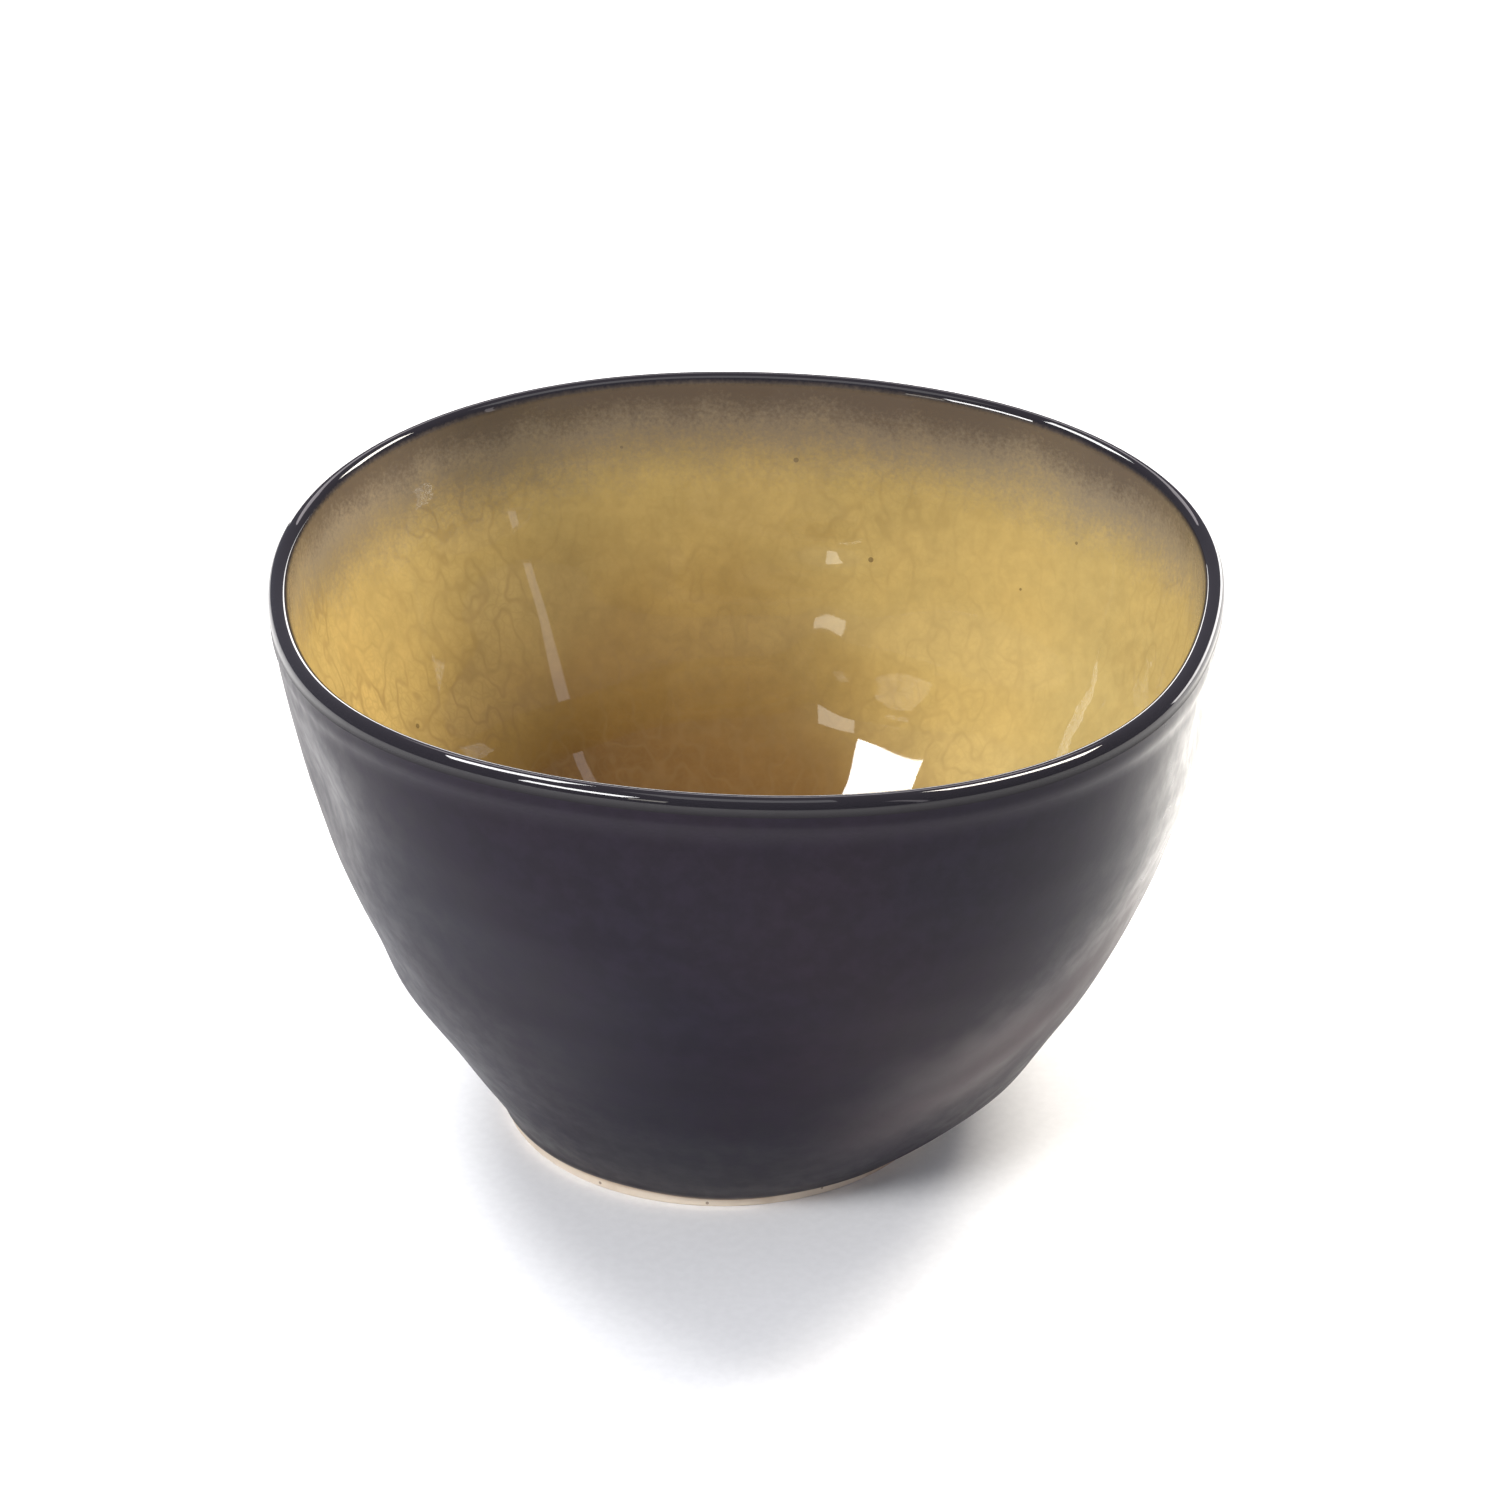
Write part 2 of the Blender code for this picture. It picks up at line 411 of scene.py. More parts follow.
    def rings(self) -> tuple[Array, Array, list[Region], int]:
        """Give every ring of the bowl, from the recess under the foot to the inside floor.

        Returns:
            Radii and heights as rows by columns, the finish of the faces that start at each
            ring, and the row on top of the lip.
        """
        angle = self.angles()
        flat = np.zeros_like(angle)
        edge = min(self.foot_edge_radius, 0.4 * self.foot_ring_width, 0.8 * self.foot_height)
        cove = min(self.recess_cove, 0.9 * (self.recess_depth - edge))
        ring_inside = self.foot_radius - self.foot_ring_width
        recess_edge = ring_inside - cove
        rows: list[tuple[Array, Array]] = []
        for step in range(1, self.recess_rows):
            rows.append((flat + recess_edge * step / self.recess_rows, flat + self.recess_depth))
        rows += self.arc((flat + recess_edge, flat + self.recess_depth - cove), cove,
                         90.0, 0.0, self.edge_rows)
        rows += self.arc((flat + ring_inside + edge, flat + edge), edge, 180.0, 270.0,
                         self.edge_rows)
        rows += self.arc((flat + self.foot_radius - edge, flat + edge), edge, 270.0, 360.0,
                         self.edge_rows)
        wander = self.foot_wander * (wave(3.0 * angle + 20.0) + wave(7.0 * angle + 80.0))
        rows.append((flat + self.foot_radius, self.foot_height + wander - self.glaze_step))
        regions = [Region.CLAY] * len(rows)

        low, low_height = self.outer_wall(angle, flat)
        rows.append((low, low_height + wander))
        for step in range(1, self.outside_rows):
            share = flat + (step / self.outside_rows) ** self.crowding
            radius, height = self.outer_wall(angle, share)
            settle = np.exp(-(height - self.foot_height) / self.foot_settle)
            rows.append((radius, height + wander * settle))
        regions += [Region.OUTSIDE] * (len(rows) - len(regions))
        band = self.lip_height(angle) - self.gloss_below_lip
        for row, (_, height) in enumerate(rows):
            if regions[row] is Region.OUTSIDE and np.all(height > band):
                regions[row] = Region.INSIDE

        lip_outside, lip_level = self.outer_wall(angle, flat + 1.0)
        first = len(rows)
        rows += self.arc((lip_outside - self.lip_radius, lip_level), self.lip_radius,
                         0.0, 180.0, self.lip_rows)
        top = first + self.lip_rows // 2
        start = self.floor_edge(angle)
        for step in range(1, self.inside_rows + 1):
            rows.append(self.inner_wall(angle, 1.0 - (1.0 - start) * step / self.inside_rows))
        rows += self.floor_rings(angle, start)
        regions += [Region.INSIDE] * (len(rows) - len(regions))
        return np.array([r for r, _ in rows]), np.array([h for _, h in rows]), regions, top

    def angles(self) -> Array:
        """Give the direction of each column in degrees."""
        return np.arange(self.columns) * 360.0 / self.columns

    def place(self, radius: Array, height: Array) -> Array:
        """Set rings in space, with the foot off the middle and the wall bowed.

        Args:
            radius: rows by columns, in metres.
            height: rows by columns, in metres.

        Returns:
            Points as rows by columns by three.
        """
        turn = np.radians(self.angles())
        lift = np.maximum(height - self.foot_height, 0.0)
        offset = self.foot_offset * np.exp(-lift / self.foot_offset_fade)
        bow = self.bow * np.sin(np.pi * np.minimum(height / self.height, 1.0))
        corners = math.radians(3.0 * self.lobe_three_at)
        x = radius * np.cos(turn) - offset + bow - self.lobe_three * math.cos(corners)
        y = radius * np.sin(turn) + self.lobe_three * math.sin(corners)
        return np.stack([x, y, height], axis=-1)

    def fitted(self, points: Array) -> Array:
        """Draw the points in to the solid's own box where they reach past it.

        Args:
            points: any array of points.

        Returns:
            The same points, at most as wide, deep and high as the solid.
        """
        flat = points.reshape(-1, 3)
        low, high = flat.min(axis=0), flat.max(axis=0)
        box_low, box_high = np.array(SOLID_BOX[0]), np.array(SOLID_BOX[1])
        size = np.minimum((box_high - box_low) / (high - low), 1.0)
        middle = 0.5 * (low + high)
        moved = (points - middle) * size + middle
        low = moved.reshape(-1, 3).min(axis=0)
        high = moved.reshape(-1, 3).max(axis=0)
        shift = np.maximum(box_low - low, 0.0) + np.minimum(box_high - high, 0.0)
        return moved + shift

    def build(self) -> bpy.types.Object:
        """Build the mesh, with the distance from the lip kept at each point.

        Returns:
            The bowl's object.
        """
        radius, height, regions, top = self.rings()
        grid = self.place(radius, height)
        still = np.zeros((1, self.columns))
        middle = self.place(still, still + self.recess_depth)[0, 0]
        floor_height = self.recess_depth + self.floor_thickness
        centre = self.place(still, still + floor_height)[0, 0]
        points = np.concatenate([grid.reshape(-1, 3), [middle], [centre]])
        points = self.fitted(points)

        rows, columns = radius.shape
        row = np.arange(rows - 1)[:, None] * columns
        here = np.arange(columns)[None, :]
        beside = (here + 1) % columns
        quads = np.stack([row + here, row + beside, row + columns + beside,
                          row + columns + here], axis=-1).reshape(-1, 4)
        under, floor, last = rows * columns, rows * columns + 1, (rows - 1) * columns
        faces = quads.tolist()
        faces += [(under, int(b), int(a)) for a, b in zip(here[0], beside[0])]
        faces += [(floor, last + int(a), last + int(b)) for a, b in zip(here[0], beside[0])]
        finish = np.repeat([region.value for region in regions[:-1]], columns).tolist()
        finish += [Region.CLAY.value] * columns + [Region.INSIDE.value] * columns

        data = bpy.data.meshes.new("bowl_form")
        data.from_pydata(points.tolist(), [], faces)
        data.shade_smooth()
        data.set_sharp_from_angle(angle=math.radians(self.sharp_angle))
        data.polygons.foreach_set("material_index", finish)
        steps = np.linalg.norm(np.diff(grid, axis=0), axis=-1)
        along = np.concatenate([np.zeros((1, columns)), np.cumsum(steps, axis=0)])
        from_lip = (along - along[top]) * MILLIMETRES
        ends = [float(from_lip[0].mean()), float(from_lip[-1].mean())]
        values = np.concatenate([from_lip.ravel(), ends])
        data.attributes.new("from_lip", "FLOAT", "POINT").data.foreach_set("value", values)
        data.update()
        return in_scene("bowl_glazed", data)


# Helpers for node trees


class Tree:
    """Adds, sets and links the nodes of one material or one node group."""

    def __init__(self, tree: NodeTree) -> None:
        """Keep the tree that is worked on."""
        self.tree = tree

    def plug(self, socket: Socket, value: Input) -> None:
        """Link a socket to another one, or set its own value.

        Args:
            socket: the socket that takes the value.
            value: a socket, a number or a tuple.
        """
        if isinstance(value, Socket):
            self.tree.links.new(value, socket)
        else:
            socket.default_value = value

    def node(self, kind: str, inputs: Optional[dict[Union[str, int], Input]] = None,
             **settings: object) -> bpy.types.Node:
        """Add one node.

        Args:
            kind: Blender's name for the node.
            inputs: what goes into its sockets.
            settings: its own properties.

        Returns:
            The node.
        """
        node = self.tree.nodes.new(kind)
        for name, setting in settings.items():
            setattr(node, name, setting)
        for name, value in (inputs or {}).items():
            self.plug(node.inputs[name], value)
        return node

    def math(self, operation: str, first: Input, second: Input = 0.0) -> Socket:
        """Add a Math node and give its result.

        Args:
            operation: Blender's name for the sum.
            first: the first number.
            second: the second number.

        Returns:
            The result's socket.
        """
        node = self.node("ShaderNodeMath", {0: first, 1: second}, operation=operation)
        return node.outputs[0]

    def vector(self, operation: str, first: Input, second: Input) -> Socket:
        """Add a Vector Math node and give its result."""
        node = self.node("ShaderNodeVectorMath", {0: first, 1: second}, operation=operation)
        return node.outputs[0]

    def times(self, first: Input, second: Input) -> Socket:
        """Multiply two numbers."""
        return self.math("MULTIPLY", first, second)

    def ramp(self, value: Input, low: Input, high: Input, start: Input = 0.0,
             end: Input = 1.0) -> Socket:
        """Rise softly from one number to another while a value goes from low to high.

        Args:
            value: what is looked up.
            low: where the rise starts.
            high: where it ends.
            start: the result at the low end.
            end: the result at the high end.

        Returns:
            The result's socket.
        """
        inputs = {"Value": value, "From Min": low, "From Max": high,
                  "To Min": start, "To Max": end}
        node = self.node("ShaderNodeMapRange", inputs, interpolation_type="SMOOTHSTEP")
        return node.outputs["Result"]

    def mix(self, factor: Input, first: Input, second: Input,
            blend: str = "MIX") -> Socket:
        """Mix two colours.

        Args:
            factor: 0 gives the first colour, 1 the second.
            first: the first colour.
            second: the second colour.
            blend: Blender's name for the way they mix.

        Returns:
            The mixed colour's socket.
        """
        node = self.node("ShaderNodeMix", {0: factor, 6: first, 7: second},
                         data_type="RGBA", blend_type=blend)
        return node.outputs[2]

    def noise(self, place: Input, scale: Input, detail: float = 2.0,
              rough: float = 0.5) -> Socket:
        """Add a soft noise and give its value.

        Args:
            place: where it is read.
            scale: how fine it is.
            detail: how many finer layers it has.
            rough: how strong the finer layers are.

        Returns:
            A socket that runs from 0 to 1.
        """
        inputs = {"Vector": place, "Scale": scale, "Detail": detail, "Roughness": rough}
        return self.node("ShaderNodeTexNoise", inputs).outputs["Fac"]


def colour(red: float, green: float, blue: float) -> tuple[float, float, float, float]:
    """Give a colour with full cover."""
    return (red, green, blue, 1.0)


@dataclass(frozen=True)
class Border:
    """A soft border between two zones of a finish, read from a distance in millimetres.

    The zone past it is bare at start and full at end. Wander moves the border about, and
    grain breaks it up.
    """

    start: float
    end: float
    wander: float
    grain: float


class Effects:
    """The effects that several finishes share, each as a node group."""

    fine_factor = 14.0
    warp_scale = 220.0
    wander_scale = 60.0
    grain_scale = 1500.0

    def __init__(self) -> None:
        """Make the groups."""
        self.mottle = self.make_mottle()
        self.specks = self.make_specks()
        self.crackle = self.make_crackle()
        self.wrinkle = self.make_wrinkle()
        self.edge = self.make_edge()

    def start(self, name: str, inputs: dict[str, Union[float, str]],
              outputs: Iterable[str]) -> tuple[Tree, Sockets, Sockets]:
        """Start a group with its named sockets.

        Args:
            name: the group's name.
            inputs: each input with its first value, or "place" for a position.
            outputs: the name of each number that it puts out.

        Returns:
            The tree, what it is given and what it puts out.
        """
        group = bpy.data.node_groups.new(name, "ShaderNodeTree")
        for label, first in inputs.items():
            kind = "NodeSocketVector" if first == "place" else "NodeSocketFloat"
            socket = group.interface.new_socket(label, in_out="INPUT", socket_type=kind)
            if kind == "NodeSocketFloat":
                socket.default_value = first
        for label in outputs:
            group.interface.new_socket(label, in_out="OUTPUT", socket_type="NodeSocketFloat")
        tree = Tree(group)
        given, out = tree.node("NodeGroupInput"), tree.node("NodeGroupOutput")
        return tree, given.outputs, out.inputs

    def make_mottle(self) -> NodeTree:
        """Make cloudy variation: two soft noises, drawn apart by a contrast.

        Returns:
            The group, which puts out Cloud and Fine.
        """
        inputs = {"Place": "place", "Scale": 40.0, "Contrast": 1.0}
        tree, given, out = self.start("glaze_mottle", inputs, ("Cloud", "Fine"))
        place, scale = given["Place"], given["Scale"]
        wide = tree.math("SUBTRACT", tree.noise(place, scale, 4.0, 0.55), 0.5)
        spread = tree.times(wide, given["Contrast"])
        tree.plug(out["Cloud"], tree.math("ADD", spread, 0.5))
        finer = tree.times(scale, self.fine_factor)
        tree.plug(out["Fine"], tree.noise(place, finer, 3.0, 0.6))
        return tree.tree

    def make_specks(self) -> NodeTree:
        """Make small round specks, of which only a share is kept.

        Returns:
            The group, which puts out Mask.
        """
        inputs = {"Place": "place", "Scale": 400.0, "Size": 0.2, "Share": 0.1}
        tree, given, out = self.start("glaze_specks", inputs, ("Mask",))
        cells = tree.node("ShaderNodeTexVoronoi", {"Vector": given["Place"],
                                                   "Scale": given["Scale"]})
        near = tree.math("LESS_THAN", cells.outputs["Distance"], given["Size"])
        split = tree.node("ShaderNodeSeparateColor", {0: cells.outputs["Color"]})
        kept = tree.math("LESS_THAN", split.outputs[0], given["Share"])
        tree.plug(out["Mask"], tree.times(near, kept))
        return tree.tree

    def make_crackle(self) -> NodeTree:
        """Make the network of fine cracks in a glaze.

        Returns:
            The group, which puts out Lines, 1 in a crack.
        """
        inputs = {"Place": "place", "Scale": 400.0, "Width": 0.08, "Warp": 0.0006}
        tree, given, out = self.start("glaze_crackle", inputs, ("Lines",))
        bend = tree.node("ShaderNodeTexNoise", {
            "Vector": given["Place"], "Scale": self.warp_scale, "Detail": 2.0})
        away = tree.vector("SUBTRACT", bend.outputs["Color"], (0.5, 0.5, 0.5))
        sized = tree.vector("MULTIPLY", away, given["Warp"])
        moved = tree.vector("ADD", given["Place"], sized)
        cells = tree.node("ShaderNodeTexVoronoi", {"Vector": moved, "Scale": given["Scale"]},
                          feature="DISTANCE_TO_EDGE")
        line = tree.ramp(cells.outputs["Distance"], 0.0, given["Width"], 1.0, 0.0)
        tree.plug(out["Lines"], line)
        return tree.tree

    def make_wrinkle(self) -> NodeTree:
        """Make wandering wrinkles, like skin, longer upwards than around.

        Returns:
            The group, which puts out Lines, 1 in a wrinkle.
        """
        inputs = {"Place": "place", "Scale": 300.0, "Width": 0.03}
        tree, given, out = self.start("glaze_wrinkle", inputs, ("Lines",))
        tall = tree.vector("MULTIPLY", given["Place"], (1.0, 1.0, 0.6))
        wide = tree.noise(tall, given["Scale"], 1.5, 0.5)
        away = tree.math("ABSOLUTE", tree.math("SUBTRACT", wide, 0.5))
        tree.plug(out["Lines"], tree.ramp(away, 0.0, given["Width"], 1.0, 0.0))
        return tree.tree

    def make_edge(self) -> NodeTree:
        """Make a soft border between two zones that wanders and breaks into grain.

        Returns:
            The group, which puts out Mask, 1 past the border.
        """
        inputs = {"Place": "place", "Distance": 0.0, "Start": 0.0, "End": 10.0,
                  "Wander": 2.0, "Grain": 2.0}
        tree, given, out = self.start("glaze_edge", inputs, ("Mask",))
        moved = given["Distance"]
        layers = (("Wander", self.wander_scale, 3.0, 0.5), ("Grain", self.grain_scale, 2.0, 0.7))
        for label, scale, detail, rough in layers:
            sway = tree.noise(given["Place"], scale, detail, rough)
            sway = tree.times(tree.math("SUBTRACT", sway, 0.5), given[label])
            moved = tree.math("ADD", moved, sway)
        rise = tree.ramp(moved, given["Start"], given["End"])
        tree.plug(out["Mask"], rise)
        return tree.tree


class Canvas(Tree):
    """The nodes of one material: its shader, the place that is shaded and the effects."""

    def __init__(self, name: str, effects: Effects, **constants: float) -> None:
        """Start a material with one shader, set to its plain numbers.

        Args:
            name: the material's name.
            effects: the effects that the finishes share.
            constants: the shader's own numbers, with _ for the spaces in their names.
        """
        self.material = bpy.data.materials.new(name)
        self.material.use_nodes = True
        super().__init__(self.material.node_tree)
        self.effects = effects
        self.shader = self.tree.nodes["Principled BSDF"]
        for label, value in constants.items():
            self.shader.inputs[label.replace("_", " ")].default_value = value
        self.place = self.node("ShaderNodeTexCoord").outputs["Object"]
        parts = self.node("ShaderNodeSeparateXYZ", {0: self.place})
        self.x, self.y, self.z = parts.outputs[0], parts.outputs[1], parts.outputs[2]

    def use(self, group: NodeTree, **inputs: Input) -> bpy.types.Node:
        """Place one of the shared effects.

        Args:
            group: the effect.
            inputs: what goes into it, besides the place.

        Returns:
            Its node.
        """
        return self.node("ShaderNodeGroup", {"Place": self.place, **inputs}, node_tree=group)

    def past(self, border: Border, distance: Input) -> Socket:
        """Mask what lies past a border.

        Args:
            border: the border.
            distance: what it is read from, in millimetres.

        Returns:
            The mask's socket.
        """
        node = self.use(self.effects.edge, Distance=distance, Start=border.start,
                        End=border.end, Wander=border.wander, Grain=border.grain)
        return node.outputs["Mask"]

    def from_lip(self) -> Socket:
        """Give the distance from the lip in millimetres, negative outside."""
        return self.node("ShaderNodeAttribute", attribute_name="from_lip").outputs["Fac"]

    def paint(self, tone: Input, mask: Input, over: Input,
              weight: float = 1.0) -> Socket:
        """Lay a colour over another one through a mask.

        Args:
            tone: the colour so far.
            mask: 1 where the new colour shows most.
            over: the new colour.
            weight: how far it shows there.

        Returns:
            The mixed colour's socket.
        """
        return self.mix(self.times(mask, weight), tone, over)

    def shade(self, tone: Input, amount: Input) -> Socket:
        """Make a colour darker or lighter by a factor."""
        return self.mix(1.0, tone, amount, "MULTIPLY")

    def feed(self, label: str, value: Input) -> None:
        """Give the shader one of its values."""
        self.plug(self.shader.inputs[label], value)

    def emboss(self, height: Input, strength: float, distance: float) -> None:
        """Give the surface fine relief.

        Args:
            height: the relief's height, about 0 to 1.
            strength: how much of it shows.
            distance: how deep it is, in metres.
        """
        bump = self.node("ShaderNodeBump", {"Height": height, "Strength": strength,
                                            "Distance": distance})
        self.feed("Normal", bump.outputs["Normal"])


@dataclass(frozen=True)
class SatinGlaze:
    """The dark satin glaze outside: aubergine black, with grain, a few pinholes and a painted
    sheen on the right flank.
    """

    effects: Effects
    deep: tuple = colour(0.0080, 0.0066, 0.0145)
    warm: tuple = colour(0.0135, 0.0086, 0.0155)
    # Painted highlight colour for the step under the lip band
    under_band: tuple = colour(0.030, 0.026, 0.034)
    painted_sheen: tuple = colour(0.185, 0.152, 0.150)
    edge_brown: tuple = colour(0.115, 0.060, 0.035)
    pinhole: tuple = colour(0.55, 0.50, 0.46)
    roughness: float = 0.40

    # The painted sheen, a paler tone in place of the flank's highlight: its middle as a turn in
    # radians and a height, and its slope and reach
    painted_sheen_turn: float = -0.70
    painted_sheen_height: float = 0.0345
    painted_sheen_climb: float = 0.028
    painted_sheen_half_height: float = 0.0175
    painted_sheen_half_turn: float = 0.80
    painted_sheen_drift: float = 0.0045
    painted_sheen_weight: float = 0.50

    thin_at_foot: Border = Border(start=2.7, end=2.0, wander=0.7, grain=0.5)

    def painted_sheen_mask(self, canvas: Canvas, grain: Input) -> Socket:
        """Mask the painted sheen, a paler tone that climbs to the right across the wall in place
        of its highlight.

        Args:
            canvas: the material's nodes.
            grain: the glaze's fine variation.

        Returns:
            The mask's socket.
        """
        turn = canvas.math("ARCTAN2", canvas.y, canvas.x)
        along = canvas.math("SUBTRACT", turn, self.painted_sheen_turn)
        line = canvas.math("ADD", canvas.times(along, self.painted_sheen_climb), self.painted_sheen_height)
        across = canvas.math("ABSOLUTE", canvas.math("SUBTRACT", canvas.z, line))
        cloud = canvas.noise(canvas.place, 38.0, 3.0, 0.6)
        drift = canvas.ramp(cloud, 0.3, 0.7, -self.painted_sheen_drift, self.painted_sheen_drift)
        across = canvas.math("ADD", across, drift)
        near = canvas.times(
            canvas.ramp(across, self.painted_sheen_half_height, 0.0),
            canvas.ramp(canvas.math("ABSOLUTE", along), self.painted_sheen_half_turn, 0.0))
        return canvas.times(near, canvas.ramp(grain, 0.3, 0.7, 0.75, 1.0))

    def material(self) -> bpy.types.Material:
        """Make the glaze.

        Returns:
            The material.
        """
        canvas = Canvas("satin_dark_glaze", self.effects, Roughness=self.roughness,
                        IOR=1.50, Specular_IOR_Level=0.11)
        mottle = canvas.use(self.effects.mottle, Scale=22.0, Contrast=2.4)
        cloud, fine = mottle.outputs["Cloud"], mottle.outputs["Fine"]
        tone = canvas.mix(cloud, self.deep, self.warm)
        tone = canvas.shade(tone, canvas.ramp(fine, 0.35, 0.70, 0.86, 1.16))
        lip = canvas.from_lip()
        # Painted highlight: a lighter ring at the step under the band, where a light line shows
        under = canvas.times(canvas.ramp(lip, -9.0, -6.2), canvas.ramp(lip, -4.4, -5.2))
        tone = canvas.paint(tone, under, self.under_band, 0.30)
        # Painted highlight: a paler, browner tone on the right flank where the ridge catches the
        # light
        tone = canvas.paint(tone, self.painted_sheen_mask(canvas, fine), self.painted_sheen, self.painted_sheen_weight)
        thin = canvas.past(self.thin_at_foot, canvas.times(canvas.z, MILLIMETRES))
        tone = canvas.paint(tone, thin, self.edge_brown)
        holes = canvas.use(self.effects.specks, Scale=150.0, Size=0.030, Share=0.05)
        tone = canvas.paint(tone, holes.outputs["Mask"], self.pinhole)
        canvas.feed("Base Color", tone)

        rough = canvas.ramp(fine, 0.3, 0.7, self.roughness - 0.035, self.roughness + 0.045)
        rough = canvas.math("ADD", rough, canvas.ramp(cloud, 0.2, 0.8, -0.03, 0.03))
        smoother = canvas.ramp(canvas.x, 0.030, 0.060, 0.0, -0.07)
        canvas.feed("Roughness", canvas.math("ADD", rough, smoother))
        skin = canvas.times(canvas.noise(canvas.place, 900.0, 3.0, 0.6), 0.25)
        wide = canvas.noise(canvas.place, 160.0, 2.0, 0.5)
        canvas.emboss(canvas.math("ADD", skin, wide), strength=0.13, distance=0.00025)
        return canvas.material


@dataclass(frozen=True)
class CrackleGlaze:
    """The glossy ochre glaze inside, crackled, dark over the lip, brown where glaze pools and
    shade is painted, with painted light and shade across the walls.
    """

    effects: Effects
    lip: tuple = colour(0.0120, 0.0105, 0.0135)
    rust: tuple = colour(0.105, 0.080, 0.066)
    halo: tuple = colour(0.250, 0.210, 0.160)
    olive: tuple = colour(0.420, 0.325, 0.130)
    gold: tuple = colour(0.600, 0.425, 0.145)
    pool_and_shade: tuple = colour(0.145, 0.068, 0.015)
    crack: tuple = colour(0.235, 0.150, 0.060)
    speck: tuple = colour(0.080, 0.048, 0.024)
    roughness: float = 0.30

    # The edge of the pooled glaze and painted shade is read in height, and rises to the left and
    # right of its middle
    pool_and_shade_middle: float = -0.014
    pool_and_shade_bend: float = 18.0
    pool_and_shade_edge: Border = Border(start=79.0, end=30.0, wander=18.0, grain=1.5)

    # The borders under the lip are read from the lip, and reach lower at the back
    lower_at_back: float = 5.5
    halo_edge: Border = Border(start=15.0, end=1.5, wander=8.0, grain=9.0)
    rust_edge: Border = Border(start=4.2, end=-2.0, wander=2.6, grain=7.0)
    lip_edge: Border = Border(start=2.6, end=1.3, wander=0.5, grain=0.6)

    def crackle_lines(self, canvas: Canvas) -> Socket:
        """Draw the crackle in two sizes and the folds, clearest at the left.

        Args:
            canvas: the material's nodes.

        Returns:
            A socket that is 1 in the strongest lines.
        """
        coarse = canvas.use(self.effects.crackle, Scale=520.0, Width=0.19, Warp=0.0042)
        fine = canvas.use(self.effects.crackle, Scale=1150.0, Width=0.16, Warp=0.0014)
        folds = canvas.use(self.effects.wrinkle, Scale=230.0, Width=0.075)
        lines = canvas.times(coarse.outputs["Lines"], 0.24)
        for group, weight in ((fine, 0.12), (folds, 0.50)):
            weighted = canvas.times(group.outputs["Lines"], weight)
            lines = canvas.math("MAXIMUM", lines, weighted)
        shown = canvas.ramp(canvas.noise(canvas.place, 30.0, 2.0), 0.38, 0.62, 0.35, 1.0)
        left = canvas.ramp(canvas.x, 0.0, -0.045, 0.45, 1.0)
        return canvas.times(lines, canvas.times(shown, left))

    def under_lip(self, canvas: Canvas, tone: Input, lip: Input) -> Socket:
        """Paint the halo and the rust under the lip, painted light and shade across the walls,
        and the dark glaze over the lip.

        Args:
            canvas: the material's nodes.
            tone: the colour so far.
            lip: the distance from the lip in millimetres.

        Returns:
            The finished colour's socket.
        """
        back = canvas.ramp(canvas.y, -0.02, 0.06, 0.0, self.lower_at_back)
        tall = canvas.vector("MULTIPLY", canvas.place, (1.0, 1.0, 0.22))
        runs = canvas.ramp(canvas.noise(tall, 170.0, 3.0, 0.6), 0.3, 0.7, -0.9, 0.9)
        reach = canvas.math("ADD", canvas.math("SUBTRACT", lip, back), runs)
        tone = canvas.paint(tone, canvas.past(self.halo_edge, reach), self.halo, 0.92)
        tone = canvas.paint(tone, canvas.past(self.rust_edge, reach), self.rust, 0.75)
        # Painted light and shade: darker overall, lighter on the left wall where the light falls,
        # and darker again between the left wall and the middle
        painted_light_left = canvas.ramp(canvas.x, -0.040, -0.060, 0.84, 1.50)
        painted_shade_dip = canvas.ramp(canvas.x, -0.016, -0.034, 1.04, 0.90)
        tone = canvas.shade(tone, canvas.times(painted_light_left, painted_shade_dip))
        return canvas.paint(tone, canvas.past(self.lip_edge, lip), self.lip)

    def material(self) -> bpy.types.Material:
        """Make the glaze.

        Returns:
            The material.
        """
        canvas = Canvas("crackled_ochre_glaze", self.effects, Roughness=self.roughness,
                        IOR=1.50, Specular_IOR_Level=0.0, Coat_Roughness=0.025,
                        Coat_IOR=1.50)
        mottle = canvas.use(self.effects.mottle, Scale=26.0, Contrast=1.8)
        cloud, fine = mottle.outputs["Cloud"], mottle.outputs["Fine"]
        tone = canvas.mix(cloud, self.olive, self.gold)
        # Pooled glaze and painted shade: darker brown low down, reaching highest at the back just
        # left of the middle, where little light falls
        aside = canvas.math("POWER", canvas.math("SUBTRACT", canvas.x, self.pool_and_shade_middle), 2.0)
        level = canvas.math("ADD", canvas.z, canvas.times(aside, self.pool_and_shade_bend))
        pooled_and_shaded = canvas.past(self.pool_and_shade_edge, canvas.times(level, MILLIMETRES))
        tone = canvas.paint(tone, pooled_and_shaded, self.pool_and_shade, 0.92)
        lines = self.crackle_lines(canvas)
        tone = canvas.paint(tone, lines, self.crack)
        tone = canvas.shade(tone, canvas.ramp(fine, 0.30, 0.72, 0.95, 1.05))
        dots = canvas.use(self.effects.specks, Scale=260.0, Size=0.11, Share=0.035)
        tone = canvas.paint(tone, dots.outputs["Mask"], self.speck, 0.6)
        lip = canvas.from_lip()
        canvas.feed("Base Color", self.under_lip(canvas, tone, lip))

        gloss = canvas.ramp(fine, 0.2, 0.5, 0.9, 1.0)
        canvas.feed("Coat Weight", canvas.times(gloss, canvas.ramp(lip, -3.6, -1.4, 0.15, 1.0)))
        canvas.feed("Roughness", canvas.ramp(cloud, 0.2, 0.8, self.roughness - 0.05,
                                             self.roughness + 0.08))
        skin = canvas.times(canvas.noise(canvas.place, 420.0, 2.0), 0.5)
        cut = canvas.times(lines, -0.6)
        canvas.emboss(canvas.math("ADD", cut, skin), strength=0.35, distance=0.0002)
        return canvas.material


